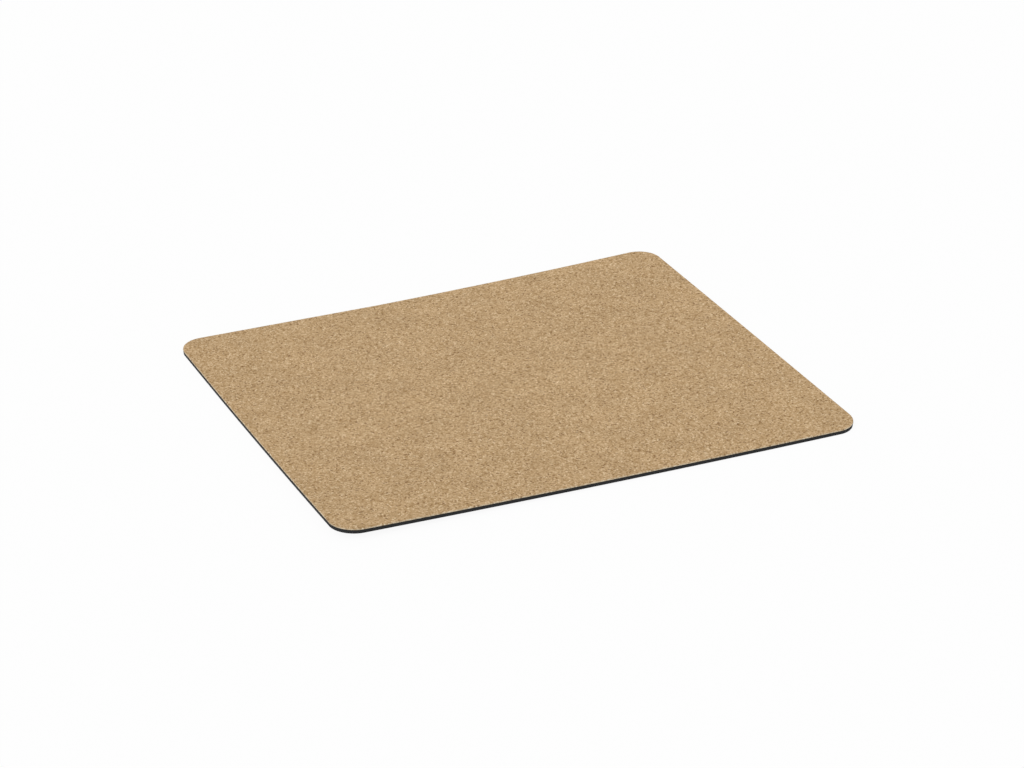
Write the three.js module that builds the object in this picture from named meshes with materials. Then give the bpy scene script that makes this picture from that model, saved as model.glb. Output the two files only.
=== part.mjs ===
// Cork mouse pad: a sheet of fine-grained cork bonded to a soft rubber base.
// The three layers are laminated first and then die-cut together, so they share one outline.
// Millimetres, +Z up. The origin is the middle of the underside, where the pad lies on the desk.
// +X runs along the long side, and +Y runs away from the person at the desk.

import * as THREE from "three";

// The die that cuts the outline
const PAD_WIDTH = 220;
const PAD_DEPTH = 180;
const CORNER_RADIUS = 10;
const CORNER_STEPS = 16;

// The layers, from the desk up
const RUBBER_THICKNESS = 1.5;
const ADHESIVE_THICKNESS = 0.0625;
const CORK_THICKNESS = 0.5;

// The finishes: matte charcoal rubber, dried amber glue and bare tan cork
const RUBBER_FINISH = { color: 0x2d2d2e, roughness: 0.9, metalness: 0 };
const ADHESIVE_FINISH = { color: 0x7a6545, roughness: 0.5, metalness: 0 };
const CORK_FINISH = { color: 0xb99c76, roughness: 0.85, metalness: 0 };

// A rectangle with a quarter round at each corner, drawn counter-clockwise
function dieOutline() {
  const quarterTurn = Math.PI / 2;
  const centreX = PAD_WIDTH / 2 - CORNER_RADIUS;
  const centreY = PAD_DEPTH / 2 - CORNER_RADIUS;
  const cornerCentres = [
    [centreX, centreY],
    [-centreX, centreY],
    [-centreX, -centreY],
    [centreX, -centreY],
  ];
  const outline = new THREE.Shape();
  cornerCentres.forEach(([x, y], corner) => {
    const startAngle = corner * quarterTurn;
    outline.absarc(x, y, CORNER_RADIUS, startAngle, startAngle + quarterTurn);
  });
  outline.closePath();
  return outline;
}

// One flat layer of the pad, standing on the height that the layers below it reach.
// An arc is divided into two chords for each curve segment.
function layer(name, thickness, underside, finish) {
  const geometry = new THREE.ExtrudeGeometry(dieOutline(), {
    depth: thickness,
    bevelEnabled: false,
    curveSegments: CORNER_STEPS / 2,
  });
  const sheet = new THREE.Mesh(geometry, new THREE.MeshStandardMaterial(finish));
  sheet.name = name;
  sheet.position.z = underside;
  return sheet;
}

const rubberTop = RUBBER_THICKNESS;
const adhesiveTop = rubberTop + ADHESIVE_THICKNESS;

const mousePad = new THREE.Group();
mousePad.add(layer("rubber_base", RUBBER_THICKNESS, 0, RUBBER_FINISH));
mousePad.add(layer("adhesive_film", ADHESIVE_THICKNESS, rubberTop, ADHESIVE_FINISH));
mousePad.add(layer("cork_sheet", CORK_THICKNESS, adhesiveTop, CORK_FINISH));

export default mousePad;
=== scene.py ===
# %% [markdown]
# # A cork mouse pad
# The pad is a laminate of three sheets: soft charcoal rubber underneath, a hairline of dried glue, and a
# sheet of fine-grained cork on top. One die cuts all three at once, so they share one outline. This
# lesson loads the pad's plain solids as a fixed frame, and models a finished sheet over each of them.

# %% Load the frame
import math

import bpy
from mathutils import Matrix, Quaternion, Vector


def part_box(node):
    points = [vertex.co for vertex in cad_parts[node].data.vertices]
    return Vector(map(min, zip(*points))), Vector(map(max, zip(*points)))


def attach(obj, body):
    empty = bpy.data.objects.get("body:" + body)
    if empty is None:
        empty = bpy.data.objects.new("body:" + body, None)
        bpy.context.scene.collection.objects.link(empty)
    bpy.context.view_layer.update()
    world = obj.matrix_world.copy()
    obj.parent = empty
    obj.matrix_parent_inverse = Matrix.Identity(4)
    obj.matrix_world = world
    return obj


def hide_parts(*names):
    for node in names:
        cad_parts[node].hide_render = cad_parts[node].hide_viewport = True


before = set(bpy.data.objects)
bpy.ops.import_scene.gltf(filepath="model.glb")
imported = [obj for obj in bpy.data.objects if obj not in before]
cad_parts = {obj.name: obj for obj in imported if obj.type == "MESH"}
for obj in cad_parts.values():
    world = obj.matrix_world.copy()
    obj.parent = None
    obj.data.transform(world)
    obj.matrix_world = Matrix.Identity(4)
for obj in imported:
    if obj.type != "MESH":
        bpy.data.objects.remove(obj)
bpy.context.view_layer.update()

# %% [markdown]
# ## The sizes that everything follows
# The outline and the heights of the layers are read from the frame, so the finished sheets stay where the
# solids are. The corner radius is the one size that a box can't tell, so it is written here. Lengths are
# in metres, and `MM` lets small sizes be written in millimetres.

# %% Read the layers
MM = 0.001
CORNER_RADIUS = 10 * MM

rubber_low, rubber_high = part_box("rubber_base")
glue_low, glue_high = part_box("adhesive_film")
cork_low, cork_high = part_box("cork_sheet")
pad_width = cork_high.x - cork_low.x
pad_depth = cork_high.y - cork_low.y
print("pad", pad_width, pad_depth, "layer tops", rubber_high.z, glue_high.z, cork_high.z)

# %% [markdown]
# ## The camera
# The pad was photographed from its front left with a long lens, so its opposite edges stay nearly
# parallel. A camera can be placed by eye, but here it is built from its direction, its distance and a
# slight roll, so that each number has a meaning and can be changed alone.

# %% Place the camera
CAMERA_AZIMUTH = math.radians(-25.42)
CAMERA_ELEVATION = math.radians(26.40)
CAMERA_ROLL = math.radians(0.64)
CAMERA_DISTANCE = 1084 * MM
CAMERA_LENS = 94.77
SENSOR_WIDTH = 36
AIM_RIGHT = 0.8 * MM
AIM_UP = 1.2 * MM

towards_camera = Vector((
    math.sin(CAMERA_AZIMUTH) * math.cos(CAMERA_ELEVATION),
    -math.cos(CAMERA_AZIMUTH) * math.cos(CAMERA_ELEVATION),
    math.sin(CAMERA_ELEVATION),
))
camera_turn = towards_camera.to_track_quat("Z", "Y") @ Quaternion((0, 0, 1), CAMERA_ROLL)
camera_data = bpy.data.cameras.new("camera")
camera_data.sensor_fit = "HORIZONTAL"
camera_data.sensor_width = SENSOR_WIDTH
camera_data.lens = CAMERA_LENS
camera = bpy.data.objects.new("camera", camera_data)
camera.rotation_mode = "QUATERNION"
camera.rotation_quaternion = camera_turn
camera.location = camera_turn @ Vector((AIM_RIGHT, AIM_UP, CAMERA_DISTANCE))
bpy.context.scene.collection.objects.link(camera)
bpy.context.scene.camera = camera
print("camera at", tuple(camera.location))

# %% [markdown]
# ## Shader nodes, one to a line
# A node tree is easier to follow when each node takes one line. `add_node` makes a node, sets its options
# and fills its inputs: a plain value is set, and a socket of another node is linked.

# %% Helpers for node trees
def add_node(tree, kind, inputs=None, **options):
    node = tree.nodes.new(kind)
    for option, value in options.items():
        setattr(node, option, value)
    for name, value in (inputs or {}).items():
        if isinstance(value, bpy.types.NodeSocket):
            tree.links.new(value, node.inputs[name])
        else:
            node.inputs[name].default_value = value
    return node


def reckon(tree, operation, first, second):
    return add_node(tree, "ShaderNodeMath", {0: first, 1: second}, operation=operation).outputs["Value"]


def empty_material(name):
    material = bpy.data.materials.new(name)
    material.use_nodes = True
    material.node_tree.nodes.clear()
    return material


# %% [markdown]
# ## Floor and light
# The pad lies on a white sweep under soft light. The lamps stay at a plain level, at which a colour
# renders as it is written, so the white comes from the floor and the world themselves: the camera, a
# mirror or a glass sees most of the floor as glowing white and the rest as lit paint, which keeps a faint
# shadow under the pad.

# %% Lay the floor
FLOOR_SIZE = 12
FLOOR_DROP = 0.02 * MM
FLOOR_WHITE = (0.9, 0.9, 0.9, 1)
FLOOR_PAINT = 0.06
FLOOR_GLOW = 0.93


def sees_white(tree):
    rays = add_node(tree, "ShaderNodeLightPath").outputs
    mirror_or_glass = reckon(tree, "MAXIMUM", rays["Is Glossy Ray"], rays["Is Transmission Ray"])
    return reckon(tree, "MAXIMUM", rays["Is Camera Ray"], mirror_or_glass)


bpy.ops.object.select_all(action="DESELECT")
bpy.ops.mesh.primitive_plane_add(size=FLOOR_SIZE, location=(0, 0, rubber_low.z - FLOOR_DROP))
floor = bpy.context.object
floor.name = "floor"
floor_finish = empty_material("white sweep")
tree = floor_finish.node_tree
paint = add_node(tree, "ShaderNodeBsdfDiffuse", {"Color": FLOOR_WHITE})
seen_paint = add_node(tree, "ShaderNodeBsdfDiffuse", {"Color": (FLOOR_PAINT, FLOOR_PAINT, FLOOR_PAINT, 1)})
glow = add_node(tree, "ShaderNodeEmission", {"Strength": FLOOR_GLOW})
seen = add_node(tree, "ShaderNodeAddShader", {0: seen_paint.outputs["BSDF"], 1: glow.outputs["Emission"]})
choose = add_node(tree, "ShaderNodeMixShader", {
    0: sees_white(tree),
    1: paint.outputs["BSDF"],
    2: seen.outputs["Shader"],
})
add_node(tree, "ShaderNodeOutputMaterial", {"Surface": choose.outputs["Shader"]})
floor.data.materials.append(floor_finish)
print("floor", FLOOR_SIZE, "m across")

# %% Light the studio
WORLD_LIGHT = 0.62
KEY_STRENGTH = 1.44
KEY_SOFTNESS = math.radians(50)
TOWARDS_KEY = Vector((-0.7, -0.3, 1))

bpy.context.scene.view_settings.view_transform = "Standard"
studio = bpy.data.worlds.new("studio")
studio.use_nodes = True
tree = studio.node_tree
tree.nodes.clear()
strength = add_node(tree, "ShaderNodeMapRange", {
    "Value": sees_white(tree),
    "To Min": WORLD_LIGHT,
    "To Max": 1,
})
sky = add_node(tree, "ShaderNodeBackground", {
    "Color": (1, 1, 1, 1),
    "Strength": strength.outputs["Result"],
})
add_node(tree, "ShaderNodeOutputWorld", {"Surface": sky.outputs["Background"]})
bpy.context.scene.world = studio

key_data = bpy.data.lights.new("key", "SUN")
key_data.energy = KEY_STRENGTH
key_data.angle = KEY_SOFTNESS
key = bpy.data.objects.new("key", key_data)
key.rotation_mode = "QUATERNION"
key.rotation_quaternion = TOWARDS_KEY.to_track_quat("Z", "Y")
bpy.context.scene.collection.objects.link(key)
print("key light", KEY_STRENGTH, "over a world of", WORLD_LIGHT)

# %% [markdown]
# ## A die-cut blank
# Each layer starts as a plane of the die's size. Its four corners are bevelled as vertices, which draws
# the quarter rounds. A flat face can't bend until it has points inside it, so evenly spaced planes cut it
# into a clean grid that follows the outline at the corners, and simple subdivision makes the grid finer
# without moving anything. The outline itself gets more points still, because a cut edge is rough on a
# smaller scale than the sheet bends.

# %% Cut a blank
CORNER_STEPS = 24
GRID_PITCH = 5 * MM
OUTLINE_CUTS = 3
NO_GAP = 1e-7


def draw_outline(foot, inset):
    bpy.ops.transform.translate(value=(0, 0, foot))
    bpy.ops.transform.resize(
        value=(pad_width - 2 * inset, pad_depth - 2 * inset, 1),
        center_override=(0, 0, foot),
    )
    bpy.ops.mesh.bevel(offset=CORNER_RADIUS - inset, segments=CORNER_STEPS, affect="VERTICES")


def cut_across(axis, span):
    normal = Vector((0, 0, 0))
    normal[axis] = 1
    strips = round(span / GRID_PITCH)
    for strip in range(1, strips):
        bpy.ops.mesh.select_all(action="SELECT")
        bpy.ops.mesh.bisect(
            plane_co=normal * (strip / strips - 0.5) * span,
            plane_no=normal,
            threshold=NO_GAP,
        )


def make_finer(sheet, levels):
    finer = sheet.modifiers.new("finer", "SUBSURF")
    finer.subdivision_type = "SIMPLE"
    finer.levels = levels
    finer.render_levels = levels
    bpy.ops.object.modifier_apply(modifier=finer.name)


def divide_outline():
    bpy.ops.mesh.select_all(action="SELECT")
    bpy.ops.mesh.region_to_loop()
    bpy.ops.mesh.subdivide(number_cuts=OUTLINE_CUTS, ngon=False)
    bpy.ops.mesh.select_mode(type="VERT")


def cut_blank(name, foot, inset, levels):
    bpy.ops.object.select_all(action="DESELECT")
    bpy.ops.mesh.primitive_plane_add(size=1, calc_uvs=False)
    sheet = bpy.context.object
    sheet.name = name
    sheet.data.name = name
    bpy.ops.object.mode_set(mode="EDIT")
    draw_outline(foot, inset)
    cut_across(0, pad_width)
    cut_across(1, pad_depth)
    bpy.ops.object.mode_set(mode="OBJECT")
    make_finer(sheet, levels)
    bpy.ops.object.mode_set(mode="EDIT")
    divide_outline()
    bpy.ops.object.mode_set(mode="OBJECT")
    print(name, len(sheet.data.polygons), "faces in its blank")
    return sheet


# %% [markdown]
# ## From blank to sheet
# The wall is raised by extruding the blank a step at a time. A step is a height and an inset from the
# die's outline, so the wall can lean or round over as the real cut edge does. A face that looks sideways
# belongs to the cut wall. It is marked for the second finish at once, while the wall is still clean.

# %% Raise a sheet from its blank
WALL_SLOPE = 0.6


def resized(inset, next_inset):
    return (
        (pad_width - 2 * next_inset) / (pad_width - 2 * inset),
        (pad_depth - 2 * next_inset) / (pad_depth - 2 * inset),
        1,
    )


def raise_sheet(name, wall, levels):
    foot, inset = wall[0]
    sheet = cut_blank(name, foot, inset, levels)
    bpy.ops.object.mode_set(mode="EDIT")
    bpy.ops.mesh.select_all(action="SELECT")
    for height, next_inset in wall[1:]:
        bpy.ops.mesh.extrude_region_move(TRANSFORM_OT_translate={"value": (0, 0, height - foot)})
        bpy.ops.transform.resize(value=resized(inset, next_inset), center_override=(0, 0, height))
        foot, inset = height, next_inset
    bpy.ops.mesh.select_all(action="SELECT")
    bpy.ops.mesh.normals_make_consistent(inside=False)
    bpy.ops.object.mode_set(mode="OBJECT")
    for face in sheet.data.polygons:
        face.material_index = int(abs(face.normal.z) < WALL_SLOPE)
    print(name, len(sheet.data.polygons), "faces with its wall")
    return sheet


# %% [markdown]
# ## Rough cuts
# No cut edge is perfectly smooth. To roughen one, its points are chosen by their height, and a Displace
# modifier moves them along their normals by a cloudy noise. Neighbouring points move together, so small
# lumps come out and no face folds over its neighbour. A point where the noise equals `level` stays where
# it is, so a higher level moves more of them inwards.

# %% Roughen a stretch of the sheet
def roughen(sheet, above, below, depth, lump_size, level=0.5):
    chosen = [vertex.index for vertex in sheet.data.vertices if above < vertex.co.z < below]
    rough = sheet.vertex_groups.new(name="rough")
    rough.add(chosen, 1, "REPLACE")
    lumps = bpy.data.textures.new("lumps", "CLOUDS")
    lumps.noise_scale = lump_size
    lumps.noise_depth = 1
    crumble = sheet.modifiers.new("crumble", "DISPLACE")
    crumble.texture = lumps
    crumble.texture_coords = "LOCAL"
    crumble.strength = depth
    crumble.mid_level = level
    crumble.vertex_group = rough.name
    bpy.ops.object.modifier_apply(modifier=crumble.name)
    sheet.vertex_groups.clear()
    print(sheet.name, len(chosen), "points roughened by", depth)


# %% [markdown]
# ## Unfold the sheet
# If the finishes are ever painted into a picture, each face needs its place on it. The side of the sheet
# that shows takes nearly the whole square, the four walls lie in strips below it, and the hidden side
# gets a small patch in the corner. A box is given by its left, foot, right and top, as shares of the
# picture.

# %% Lay out the faces for painting
SHOWN_BOX = (0.005, 0.115, 0.995, 0.99)
HIDDEN_BOX = (0.91, 0.01, 0.99, 0.09)
STRIP_BOX = (0.005, 0.005, 0.895, 0.023)
STRIP_PITCH = 0.025


def inside(box, across, along):
    left, foot, right, top = box
    return (left + (right - left) * across, foot + (top - foot) * along)


def layout_spot(normal, point, shown_side, low, high):
    across = point.x / pad_width + 0.5
    along = point.y / pad_depth + 0.5
    if normal.z * shown_side > WALL_SLOPE:
        return inside(SHOWN_BOX, across, along)
    if normal.z * shown_side < -WALL_SLOPE:
        return inside(HIDDEN_BOX, across, along)
    sideways = abs(normal.x) > abs(normal.y)
    facing = normal.x if sideways else normal.y
    strip = 2 * sideways + (facing > 0)
    run = along if sideways else across
    rise = (point.z - low) / (high - low)
    left, foot = inside(STRIP_BOX, run, rise)
    return (left, foot + STRIP_PITCH * strip)


def unfold(sheet, shown_side, low, high):
    layout = sheet.data.uv_layers.new(name="OFBake")
    for face in sheet.data.polygons:
        for corner in face.loop_indices:
            point = sheet.data.vertices[sheet.data.loops[corner].vertex_index].co
            layout.uv[corner].vector = layout_spot(face.normal, point, shown_side, low, high)
    print(sheet.name, "unfolded")


# %% [markdown]
# ## The way the pad lies
# A laminate never lies dead flat. The one in the photograph rests on two opposite corners, and the other
# two stand a little off the desk. Its lie is written as the heights of nine points: the corners, the
# middles of the edges and the middle of the pad, from left to right. A quadratic through each three of
# them gives every height between. A vertex group holds the heights as shares of `TOP_HEIGHT`, and a
# Displace modifier lifts the group by it. A share is never below zero, so where a curve would dip under
# the desk the pad simply lies on it. All three layers get the same lift, so they stay bonded.

# %% Warp the sheet
FRONT_HEIGHTS = (2.7 * MM, 0.6 * MM, 0)
MIDDLE_HEIGHTS = (0.4 * MM, 0.2 * MM, 2.0 * MM)
BACK_HEIGHTS = (0, 0.3 * MM, 3.7 * MM)
TOP_HEIGHT = 5 * MM
SMOOTH_ANGLE = math.radians(40)


def through(first, middle, last, place):
    return middle + place * (last - first) / 2 + place ** 2 * ((first + last) / 2 - middle)


def height_at(point):
    across = 2 * point.x / pad_width
    along = 2 * point.y / pad_depth
    rows = [through(*heights, across) for heights in (FRONT_HEIGHTS, MIDDLE_HEIGHTS, BACK_HEIGHTS)]
    return through(*rows, along)


def lay_down(sheet):
    lie = sheet.vertex_groups.new(name="lie")
    for vertex in sheet.data.vertices:
        lie.add([vertex.index], height_at(vertex.co) / TOP_HEIGHT, "REPLACE")
    warp = sheet.modifiers.new("warp", "DISPLACE")
    warp.direction = "Z"
    warp.mid_level = 0
    warp.strength = TOP_HEIGHT
    warp.vertex_group = lie.name
    bpy.ops.object.modifier_apply(modifier=warp.name)
    sheet.vertex_groups.clear()
    bpy.ops.object.shade_smooth_by_angle(angle=SMOOTH_ANGLE)
    heights = [vertex.co.z for vertex in sheet.data.vertices]
    print(sheet.name, "lies between", min(heights), "and", max(heights))


# %% [markdown]
# ## The rubber base
# Soft rubber is squeezed as the die goes through and springs back afterwards, so its cut wall leans in
# towards the underside and is slightly hollow. The bottom edge is broken by a tiny round.

# %% Model the rubber base
RUBBER_RIPPLE = 0.08 * MM
RIPPLE_LUMP = 0.9 * MM
RUBBER_WALL = (
    (rubber_low.z, 0.18 * MM),
    (rubber_low.z + 0.06 * MM, 0.12 * MM),
    (rubber_low.z + 0.5 * MM, 0.10 * MM),
    (rubber_low.z + 1.0 * MM, 0.06 * MM),
    (rubber_high.z, 0),
)
rubber = raise_sheet("rubber_base_sheet", RUBBER_WALL, levels=1)
unfold(rubber, -1, rubber_low.z, rubber_high.z)
roughen(rubber, rubber_low.z + NO_GAP, rubber_high.z - NO_GAP, RUBBER_RIPPLE, RIPPLE_LUMP)
lay_down(rubber)

# %% [markdown]
# ## The glue line
# The laminating glue is as thin as a hair. It only shows as a line in the cut edge, where it sits back a
# little from the cork and the rubber.

# %% Model the glue line
GLUE_SETBACK = 0.06 * MM
GLUE_WALL = ((glue_low.z, GLUE_SETBACK), (glue_high.z, GLUE_SETBACK))
glue = raise_sheet("adhesive_film_sheet", GLUE_WALL, levels=1)
lay_down(glue)

# %% [markdown]
# ## The cork sheet
# Cork parts grain by grain, so its edge is crumbly on the scale of a granule: the rim is rounded over,
# and the wall is roughened, mostly inwards, where grains have dropped out. A flat margin inside the rim
# keeps the smooth shading of the round off the face, and the face gets a sanded relief of a few
# hundredths of a millimetre.

# %% Model the cork sheet
RIM_DROP = 0.12 * MM
RIM_INSET = 0.10 * MM
RIM_MARGIN = 0.15 * MM
CORK_RELIEF = 0.04 * MM
RELIEF_LUMP = 2.5 * MM
CORK_CRUMBLE = 0.16 * MM
CRUMBLE_LUMP = 0.6 * MM
CRUMBLE_LEVEL = 0.65
CORK_WALL = (
    (cork_low.z, 0),
    ((cork_low.z + cork_high.z - RIM_DROP) / 2, 0),
    (cork_high.z - RIM_DROP, 0),
    (cork_high.z - RIM_DROP / 3, RIM_INSET / 3),
    (cork_high.z, RIM_INSET),
    (cork_high.z, RIM_INSET + RIM_MARGIN),
)
cork = raise_sheet("cork_top_sheet", CORK_WALL, levels=2)
unfold(cork, 1, cork_low.z, cork_high.z)
roughen(cork, cork_low.z + NO_GAP, cork_high.z - NO_GAP, CORK_CRUMBLE, CRUMBLE_LUMP, CRUMBLE_LEVEL)
roughen(cork, cork_high.z - NO_GAP, cork_high.z + NO_GAP, CORK_RELIEF, RELIEF_LUMP)
lay_down(cork)

# %% [markdown]
# ## Building blocks for the finishes
# Cork and rubber are both made of small cells, so their finishes are built from the same few steps: cells
# of a given size, noise of a given size, a range stretched to another range, and one colour laid over
# another. The colour that Blender gives a cell tells where the cell lies, so each cell rolls its chances
# anew from it. Noise seldom leaves the middle of its range, so `from_noise` stretches that middle.

# %% Texture steps
NUMBER = "NodeSocketFloat"
COLOUR = "NodeSocketColor"
VECTOR = "NodeSocketVector"
NOISE_LOW = 0.3
NOISE_HIGH = 0.7


def srgb(red, green, blue):
    def linear(level):
        share = level / 255
        return share / 12.92 if share <= 0.04045 else ((share + 0.055) / 1.055) ** 2.4
    return (linear(red), linear(green), linear(blue), 1)


def new_group(name, inputs, outputs):
    group = bpy.data.node_groups.new(name, "ShaderNodeTree")
    for socket, kind in inputs.items():
        group.interface.new_socket(name=socket, in_out="INPUT", socket_type=kind)
    for socket, kind in outputs.items():
        group.interface.new_socket(name=socket, in_out="OUTPUT", socket_type=kind)
    return group, add_node(group, "NodeGroupInput").outputs


def stretch(tree, value, low, high, new_low=0, new_high=1):
    limits = {"Value": value, "From Min": low, "From Max": high, "To Min": new_low, "To Max": new_high}
    return add_node(tree, "ShaderNodeMapRange", limits).outputs["Result"]


def overlay(tree, share, under, over, blend="MIX"):
    sockets = {0: share, 6: under, 7: over}
    return add_node(tree, "ShaderNodeMix", sockets, data_type="RGBA", blend_type=blend).outputs[2]


def cells(tree, place, per_metre, feature="F1"):
    sockets = {"Vector": place, "Scale": per_metre}
    return add_node(tree, "ShaderNodeTexVoronoi", sockets, feature=feature).outputs


def chance(tree, cell, channel):
    dice = add_node(tree, "ShaderNodeTexWhiteNoise", {"Vector": cell["Color"]}).outputs["Color"]
    return add_node(tree, "ShaderNodeSeparateColor", {"Color": dice}).outputs[channel]


def noise(tree, place, per_metre, detail):
    sockets = {"Vector": place, "Scale": per_metre, "Detail": detail}
    return add_node(tree, "ShaderNodeTexNoise", sockets).outputs


def from_noise(tree, value, new_low=0, new_high=1):
    return stretch(tree, value, NOISE_LOW, NOISE_HIGH, new_low, new_high)


# %% [markdown]
# ## A slow drift of tone
# Nothing that is pressed or cast in a sheet is quite one colour from end to end. This group gives a
# factor close to one that wanders over a centimetre or two, and both cork and rubber multiply their
# colour by it.

# %% Build the drift group
DRIFT_PATCH = 16 * MM


def drifting(tree, place, depth):
    sockets = {"Vector": place, "Depth": depth}
    return add_node(tree, "ShaderNodeGroup", sockets, node_tree=drift_group).outputs["Shade"]


drift_group, given = new_group("slow drift", {"Vector": VECTOR, "Depth": NUMBER}, {"Shade": NUMBER})
patches = noise(drift_group, given["Vector"], 1 / DRIFT_PATCH, detail=2)["Fac"]
wander = reckon(drift_group, "MULTIPLY", from_noise(drift_group, patches, -1, 1), given["Depth"])
add_node(drift_group, "NodeGroupOutput", {"Shade": reckon(drift_group, "ADD", wander, 1)})
print("drift over", DRIFT_PATCH, "m")

# %% [markdown]
# ## Cork grain
# Pressed cork is a mass of granules about half a millimetre across, each of its own shade, with some of
# dark bark, some of clean pale cork and now and then a larger speck of bark. Voronoi cells are a natural
# stand-in for granules: a little noise bends their borders, and finer noise mottles them. The sum of two
# chances gives each granule its tone, so that middle tones are the most common.

# %% Give each granule its tone
GRANULE = 0.6 * MM
MOTTLE = 0.2 * MM
SPECK_SPACING = 2.4 * MM
GRANULE_TONES = (0.04, 0.96)
MOTTLE_TONES = (-0.2, 0.2)
DARK_TONE = 0.1
MIDDLE_TONE = 0.5
PALE_TONE = 0.9

grain_group, given = new_group(
    "cork grain",
    {"Vector": VECTOR, "Dark": COLOUR, "Middle": COLOUR, "Pale": COLOUR, "Bark": COLOUR, "Clean": COLOUR},
    {"Color": COLOUR, "Roughness": NUMBER, "Height": NUMBER},
)
wobble = add_node(grain_group, "ShaderNodeVectorMath", {
    0: noise(grain_group, given["Vector"], 1 / GRANULE, detail=2)["Color"],
    1: (GRANULE, GRANULE, GRANULE),
    2: given["Vector"],
}, operation="MULTIPLY_ADD")
bent = wobble.outputs["Vector"]
granules = cells(grain_group, bent, 1 / GRANULE)
seams = cells(grain_group, bent, 1 / GRANULE, "DISTANCE_TO_EDGE")
specks = cells(grain_group, bent, 1 / SPECK_SPACING)
mottle = noise(grain_group, given["Vector"], 1 / MOTTLE, detail=3)["Fac"]

first_chance = chance(grain_group, granules, "Red")
second_chance = chance(grain_group, granules, "Green")
both_chances = reckon(grain_group, "ADD", first_chance, second_chance)
granule_tone = stretch(grain_group, both_chances, 0, 2, *GRANULE_TONES)
tone = reckon(grain_group, "ADD", granule_tone, from_noise(grain_group, mottle, *MOTTLE_TONES))
above_dark = stretch(grain_group, tone, DARK_TONE, MIDDLE_TONE)
above_middle = stretch(grain_group, tone, MIDDLE_TONE, PALE_TONE)
dark_to_middle = overlay(grain_group, above_dark, given["Dark"], given["Middle"])
body = overlay(grain_group, above_middle, dark_to_middle, given["Pale"])
print("granules of", GRANULE, "m")

# %% Add bark and clean cork
BARK_SHARE = 0.05
CLEAN_SHARE = 0.04
SPECK_SHARE = 0.2
SHARP = 0.01
SPECK_REACH = (0.1, 0.3)
SPECK_BLUR = 0.03
FLECK_COVER = 0.75

kind = chance(grain_group, granules, "Blue")
is_bark = stretch(grain_group, kind, BARK_SHARE, BARK_SHARE - SHARP)
is_clean = stretch(grain_group, kind, 1 - CLEAN_SHARE, 1 - CLEAN_SHARE + SHARP)
has_speck = stretch(grain_group, chance(grain_group, specks, "Red"), SPECK_SHARE, SPECK_SHARE - SHARP)
speck_reach = from_noise(grain_group, mottle, *SPECK_REACH)
past_speck = reckon(grain_group, "SUBTRACT", specks["Distance"], speck_reach)
in_speck = stretch(grain_group, past_speck, SPECK_BLUR, -SPECK_BLUR)
bark = reckon(grain_group, "MAXIMUM", is_bark, reckon(grain_group, "MULTIPLY", has_speck, in_speck))
bark_cover = reckon(grain_group, "MULTIPLY", bark, FLECK_COVER)
clean_cover = reckon(grain_group, "MULTIPLY", is_clean, FLECK_COVER)
with_bark = overlay(grain_group, bark_cover, body, given["Bark"])
flecked = overlay(grain_group, clean_cover, with_bark, given["Clean"])
print("bark in", BARK_SHARE, "and clean cork in", CLEAN_SHARE, "of the granules")

# %% [markdown]
# The seams between the granules are dark with binder and lie a little lower. A seam's width is a share of
# a granule. Pale granules are also a little smoother than dark ones.

# %% Sink the seams and finish the cork grain group
CORK_DRIFT = 0.045
SEAM_WIDTH = 0.08
SEAM_SHADE = 0.8
SEAM_SLOPE_WIDTH = 0.12
SEAM_DEPTH = 0.6
CORK_ROUGHNESS = (0.92, 0.78)

drift = drifting(grain_group, given["Vector"], CORK_DRIFT)
seam_shade = stretch(grain_group, seams["Distance"], 0, SEAM_WIDTH, SEAM_SHADE, 1)
shade = reckon(grain_group, "MULTIPLY", drift, seam_shade)
seam_dip = stretch(grain_group, seams["Distance"], 0, SEAM_SLOPE_WIDTH, -SEAM_DEPTH, 0)
add_node(grain_group, "NodeGroupOutput", {
    "Color": overlay(grain_group, 1, flecked, shade, "MULTIPLY"),
    "Roughness": stretch(grain_group, tone, 0, 1, *CORK_ROUGHNESS),
    "Height": reckon(grain_group, "ADD", tone, seam_dip),
})
print("cork grain", len(grain_group.nodes), "nodes")

# %% [markdown]
# ## Cork finishes
# The face is bare sanded cork, matte and tan. The cut edge is paler and greyer: partly because it is fresh
# cork that no hand has touched, and partly as painted light, which makes the upright wall look more
# brightly lit than the face. Both use the same grain with their own colours.

# %% Make the cork finishes
SHINE = 0.25


def finish(name, group, values, relief, raised=True):
    material = empty_material(name)
    tree = material.node_tree
    place = add_node(tree, "ShaderNodeTexCoord").outputs["Object"]
    pattern = add_node(tree, "ShaderNodeGroup", {"Vector": place, **values}, node_tree=group).outputs
    sockets = {"Height": pattern["Height"], "Distance": relief}
    bump = add_node(tree, "ShaderNodeBump", sockets, invert=not raised)
    shader = add_node(tree, "ShaderNodeBsdfPrincipled", {
        "Base Color": pattern["Color"],
        "Roughness": pattern["Roughness"],
        "Specular IOR Level": SHINE,
        "Normal": bump.outputs["Normal"],
    })
    add_node(tree, "ShaderNodeOutputMaterial", {"Surface": shader.outputs["BSDF"]})
    return material


CORK_FACE = {
    "Dark": srgb(155, 122, 77),
    "Middle": srgb(190, 158, 116),
    "Pale": srgb(216, 187, 148),
    "Bark": srgb(118, 84, 46),
    "Clean": srgb(231, 206, 168),
}
# Paler, greyer colours for the cut wall: partly fresh cork, partly painted light on the wall.
CORK_EDGE_FRESH_AND_PAINTED_LIGHT = {
    "Dark": srgb(172, 147, 113),
    "Middle": srgb(211, 191, 159),
    "Pale": srgb(225, 211, 186),
    "Bark": srgb(132, 103, 71),
    "Clean": srgb(233, 223, 202),
}
cork_face_finish = finish("cork face", grain_group, CORK_FACE, relief=0.03 * MM)
cork_edge_finish = finish("cork cut edge", grain_group, CORK_EDGE_FRESH_AND_PAINTED_LIGHT, relief=0.05 * MM)
print("cork finishes made")

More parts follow.
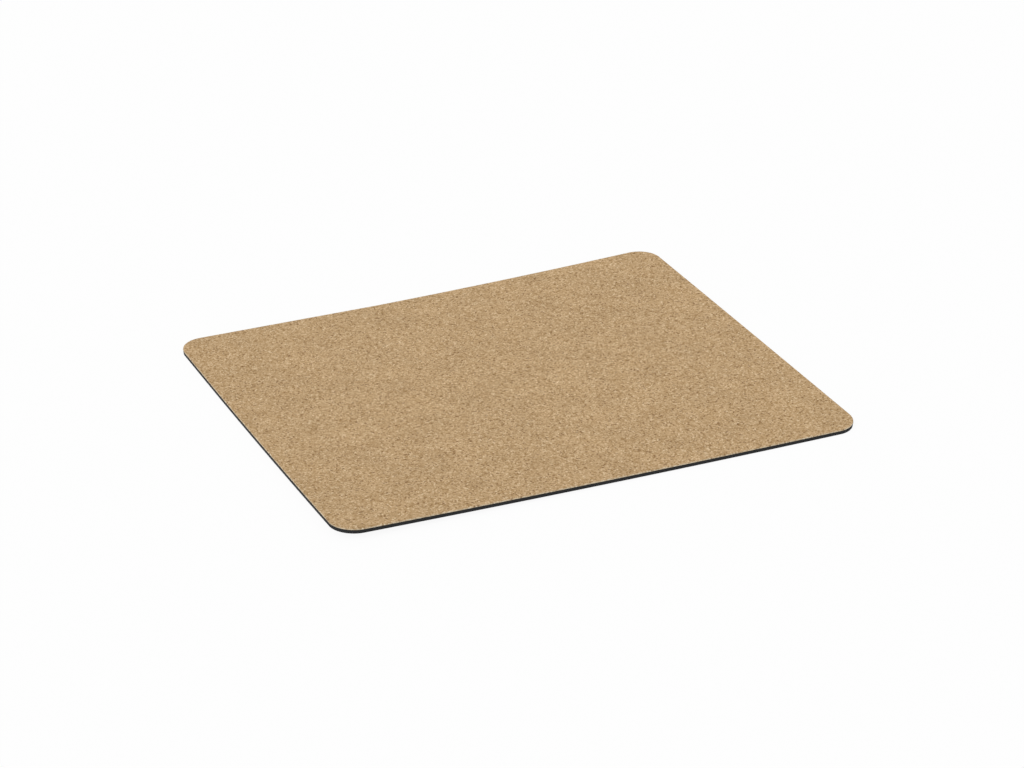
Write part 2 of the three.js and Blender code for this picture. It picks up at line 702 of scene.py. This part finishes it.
# %% [markdown]
# ## Rubber finishes
# The base is microcellular rubber. Its underside has a fine pebbled skin, and the cut wall shows burst
# cells instead. Both come from one group of cells: the skin raises each cell as a pebble, and the cut
# sinks it.

# %% Build the rubber cell group
RUBBER_DRIFT = 0.05
SPECKLE_LOW = 0.35
RUBBER_ROUGHNESS = (0.95, 0.82)

rubber_group, given = new_group(
    "rubber cells",
    {"Vector": VECTOR, "Per Metre": NUMBER, "Dark": COLOUR, "Pale": COLOUR},
    {"Color": COLOUR, "Roughness": NUMBER, "Height": NUMBER},
)
bubbles = cells(rubber_group, given["Vector"], given["Per Metre"])
speckle = noise(rubber_group, given["Vector"], given["Per Metre"], detail=3)["Fac"]
drift = drifting(rubber_group, given["Vector"], RUBBER_DRIFT)
pale_share = stretch(rubber_group, speckle, SPECKLE_LOW, NOISE_HIGH)
speckled = overlay(rubber_group, pale_share, given["Dark"], given["Pale"])
add_node(rubber_group, "NodeGroupOutput", {
    "Color": overlay(rubber_group, 1, speckled, drift, "MULTIPLY"),
    "Roughness": from_noise(rubber_group, speckle, *RUBBER_ROUGHNESS),
    "Height": bubbles["Distance"],
})
print("rubber cells", len(rubber_group.nodes), "nodes")

# %% Make the rubber finishes
RUBBER_SKIN = {"Per Metre": 1 / (0.55 * MM), "Dark": srgb(42, 42, 43), "Pale": srgb(60, 60, 61)}
RUBBER_CUT = {"Per Metre": 1 / (0.22 * MM), "Dark": srgb(31, 31, 32), "Pale": srgb(47, 47, 48)}
rubber_face_finish = finish("rubber underside", rubber_group, RUBBER_SKIN, relief=0.05 * MM, raised=False)
rubber_edge_finish = finish("rubber cut edge", rubber_group, RUBBER_CUT, relief=0.04 * MM)
print("rubber finishes made")

# %% [markdown]
# ## The glue finish
# Dried glue is amber. In a line as thin as this it looks brown, a little blotchy and shinier than the
# cork.

# %% Make the glue finish
GLUE_BLOTCH = 1.5 * MM
GLUE_DARK = srgb(96, 78, 52)
GLUE_PALE = srgb(132, 110, 76)
GLUE_ROUGHNESS = (0.4, 0.6)

glue_finish = empty_material("dried glue")
tree = glue_finish.node_tree
place = add_node(tree, "ShaderNodeTexCoord").outputs["Object"]
blotch = from_noise(tree, noise(tree, place, 1 / GLUE_BLOTCH, detail=2)["Fac"])
shader = add_node(tree, "ShaderNodeBsdfPrincipled", {
    "Base Color": overlay(tree, blotch, GLUE_DARK, GLUE_PALE),
    "Roughness": stretch(tree, blotch, 0, 1, *GLUE_ROUGHNESS),
})
add_node(tree, "ShaderNodeOutputMaterial", {"Surface": shader.outputs["BSDF"]})
print("glue finish made")

# %% [markdown]
# ## Put the finishes on
# The first finish of a sheet goes to its faces and the second to its cut wall, as they were marked. The
# glue looks the same all over.

# %% Assign the finishes
FINISHES = (
    (cork, cork_face_finish, cork_edge_finish),
    (rubber, rubber_face_finish, rubber_edge_finish),
    (glue, glue_finish, glue_finish),
)
for sheet, face_finish, edge_finish in FINISHES:
    sheet.data.materials.append(face_finish)
    sheet.data.materials.append(edge_finish)
    walls = sum(face.material_index for face in sheet.data.polygons)
    print(sheet.name, walls, "wall faces of", len(sheet.data.polygons))

# %% [markdown]
# ## Fit the sheets to the frame
# The pad has no joint, so all three sheets ride on the one body and each stands for its solid. They are
# sheets cut flat to the die's outline and laid one on another.

# %% Ride and replace
LAYERS = (
    (rubber, "rubber_base", "base_rubber", []),
    (glue, "adhesive_film", "bond_adhesive", [rubber]),
    (cork, "cork_sheet", "top_cork", [glue]),
)
for sheet, node, slot, under in LAYERS:
    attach(sheet, "root")
    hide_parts(node)
    print(sheet.name, "stands for", node)
